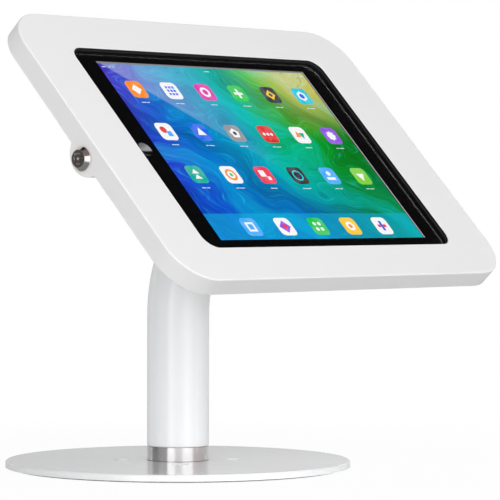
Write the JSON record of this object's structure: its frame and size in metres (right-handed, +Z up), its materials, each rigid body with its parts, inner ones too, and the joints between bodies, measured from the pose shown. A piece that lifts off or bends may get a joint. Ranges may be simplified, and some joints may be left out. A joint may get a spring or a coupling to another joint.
{
  "type": "tablet security kiosk stand",
  "caption": "White lockable tablet enclosure tilted on a bent tube column that swivels on a round base plate, with a landscape tablet behind its window.",
  "frame": {"origin": "middle of the underside of the base pad, on the column's axis", "axes": "+Z up, the screen faces -Y and leans back, +X to the right of someone who looks at the screen"},
  "size_m": [0.3162, 0.2614, 0.2859],
  "materials": {
    "white_enamel": "gloss white enamel",
    "white_powder": "satin white powder coat",
    "black_rubber": "matt",
    "pale_rubber": "matt, light grey",
    "grey_button": "gloss, mid grey",
    "grey_foam": "matt foam",
    "zinc_steel": "zinc plated",
    "polished_steel": "polished",
    "black_acetal": "satin",
    "white_acetal": "satin",
    "dark_nickel": "dark nickel plating",
    "anodised_aluminium": "blasted and anodised",
    "cover_glass": "polished",
    "black_frame": "gloss",
    "display": "lit display",
    "lens_black": "polished"
  },
  "bodies": {
    "base": {"base_plate": "white_enamel", "base_pad": "pale_rubber", "base_screws": "zinc_steel", "swivel_spigot": "polished_steel", "thrust_washer": "white_acetal"},
    "column": {"column_tube": "white_enamel", "swivel_bush": "white_acetal", "stop_screw": "zinc_steel", "cable_grommet": "black_rubber", "head_flange": "white_powder", "head_stop_pin": "zinc_steel", "friction_washer": "white_acetal", "pivot_retainer": "zinc_steel", "retainer_screws": "zinc_steel"},
    "head": {"rear_housing": "white_powder", "lock_shroud": "white_powder", "latch_keeper": "zinc_steel", "keeper_screw": "zinc_steel", "tablet_tray": "zinc_steel", "tray_screws": "zinc_steel", "corner_guides": "black_acetal", "guide_screws": "zinc_steel", "tablet_pads": "grey_foam", "tablet_shell": "anodised_aluminium", "tablet_glass": "cover_glass", "screen_frame": "black_frame", "display_panel": "display", "front_lens": "lens_black", "rear_lens": "lens_black"},
    "cover": {"front_cover": "white_powder", "window_seal": "black_rubber", "lock_body": "dark_nickel", "lock_washer": "dark_nickel", "lock_nut": "dark_nickel"},
    "lock_core": {"lock_plug": "dark_nickel", "lock_cam": "zinc_steel", "cam_screw": "zinc_steel"},
    "home_key": {"home_button": "grey_button"},
    "power_key": {"power_button": "anodised_aluminium"},
    "volume_up_key": {"volume_up_button": "anodised_aluminium"},
    "volume_down_key": {"volume_down_button": "anodised_aluminium"}
  },
  "joints": [
    {"name": "column_swivel", "type": "hinge", "parent": "base", "child": "column", "pos_m": [0, 0, 0.0148], "axis": [0, 0, 1], "range_deg": [-160, 160]},
    {"name": "head_turn", "type": "hinge", "parent": "column", "child": "head", "pos_m": [0, -0.07473, 0.20613], "axis": [0, -0.7254, 0.6884], "range_deg": [0, 90]},
    {"name": "cover_open", "type": "hinge", "parent": "head", "child": "cover", "pos_m": [0.15515, -0.06584, 0.1977], "axis": [0, 0.6884, 0.7254], "range_deg": [0, 100]},
    {"name": "lock_turn", "type": "hinge", "parent": "cover", "child": "lock_core", "pos_m": [-0.156, -0.06641, 0.19645], "axis": [1, 0, 0], "range_deg": [0, 90]},
    {"name": "home_press", "type": "slide", "parent": "head", "child": "home_key", "axis": [0, 0.7254, -0.6884], "range_m": [0, 0.0004], "stiffness_N_per_m": 1500, "springref_m": -0.0003},
    {"name": "power_press", "type": "slide", "parent": "head", "child": "power_key", "axis": [-1, 0, 0], "range_m": [0, 0.0003], "stiffness_N_per_m": 2000, "springref_m": -0.0003},
    {"name": "volume_up_press", "type": "slide", "parent": "head", "child": "volume_up_key", "axis": [0, 0.6884, 0.7254], "range_m": [0, 0.0003], "stiffness_N_per_m": 2000, "springref_m": -0.0003},
    {"name": "volume_down_press", "type": "slide", "parent": "head", "child": "volume_down_key", "axis": [0, 0.6884, 0.7254], "range_m": [0, 0.0003], "stiffness_N_per_m": 2000, "springref_m": -0.0003}
  ]
}
